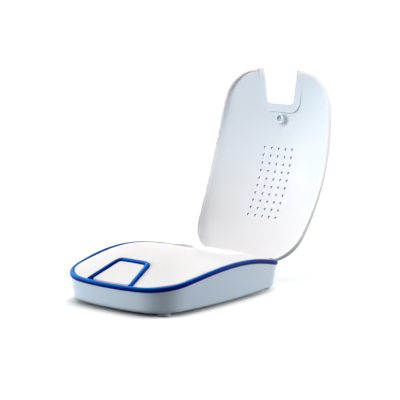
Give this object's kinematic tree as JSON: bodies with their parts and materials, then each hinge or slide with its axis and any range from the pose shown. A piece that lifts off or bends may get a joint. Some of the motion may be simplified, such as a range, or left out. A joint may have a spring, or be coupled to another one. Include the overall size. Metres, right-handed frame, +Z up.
{
  "type": "hearing aid dryer",
  "caption": "Desktop hearing aid dryer: low wave-rimmed case with blue seals, a front start key, a drying tray, and a domed vented lid with a U notch, hinged open at the back.",
  "frame": {"origin": "on the table, under the middle of the bounding box of the dryer with its lid open", "axes": "+X to the right across the width, seen by someone facing the start key; +Y from the start key towards the hinge and the open lid; +Z up"},
  "size_m": [0.0984, 0.188, 0.1411],
  "materials": {
    "white_plastic": "smooth moulded white, softly glossy",
    "case_plastic": "smooth moulded bluish white",
    "blue_seal": "glossy deep blue silicone",
    "foot_rubber": "milky translucent grey",
    "board": "green laminate with matt lacquer",
    "black_plastic": "fine-grained black",
    "ivory_plastic": "matt ivory",
    "lamp": "clear green",
    "steel": "bright zinc plated",
    "magnet_plate": "nickel plated",
    "aluminium": "rolled sheet",
    "film": "amber polyimide film"
  },
  "bodies": {
    "base": {"base_housing": "case_plastic", "deck": "white_plastic", "drying_tray": "white_plastic", "perimeter_seal": "blue_seal", "key_seal": "blue_seal", "circuit_board": "board", "start_switch": "black_plastic", "status_led": "lamp", "control_chip": "black_plastic", "board_plug": "ivory_plastic", "board_screws": "steel", "lid_sensor": "black_plastic", "catch_plate": "steel", "heater_plate": "aluminium", "heater_film": "film", "thermal_cutoff": "ivory_plastic", "fan_frame": "black_plastic", "fan_screws": "steel", "power_inlet": "black_plastic", "case_screws": "steel", "hinge_pin_left": "steel", "hinge_pin_right": "steel", "foot_front_left": "foot_rubber", "foot_front_right": "foot_rubber", "foot_rear_left": "foot_rubber", "foot_rear_right": "foot_rubber"},
    "key": {"start_key": "white_plastic", "switch_plunger": "ivory_plastic"},
    "impeller": {"fan_impeller": "black_plastic"},
    "lid": {"lid_shell": "white_plastic", "lid_magnet": "magnet_plate"}
  },
  "joints": [
    {"name": "lid_hinge", "type": "hinge", "parent": "base", "child": "lid", "pos_m": [0, 0.04224, 0.0157], "axis": [1, 0, 0], "range_deg": [0, 109.5]},
    {"name": "start_key_press", "type": "slide", "parent": "base", "child": "key", "axis": [0, 0, -1], "range_m": [0, 0.0006], "stiffness_N_per_m": 1500},
    {"name": "fan_spin", "type": "hinge", "parent": "base", "child": "impeller", "pos_m": [0, -0.03876, 0.009], "axis": [0, 0, 1], "continuous": true}
  ]
}
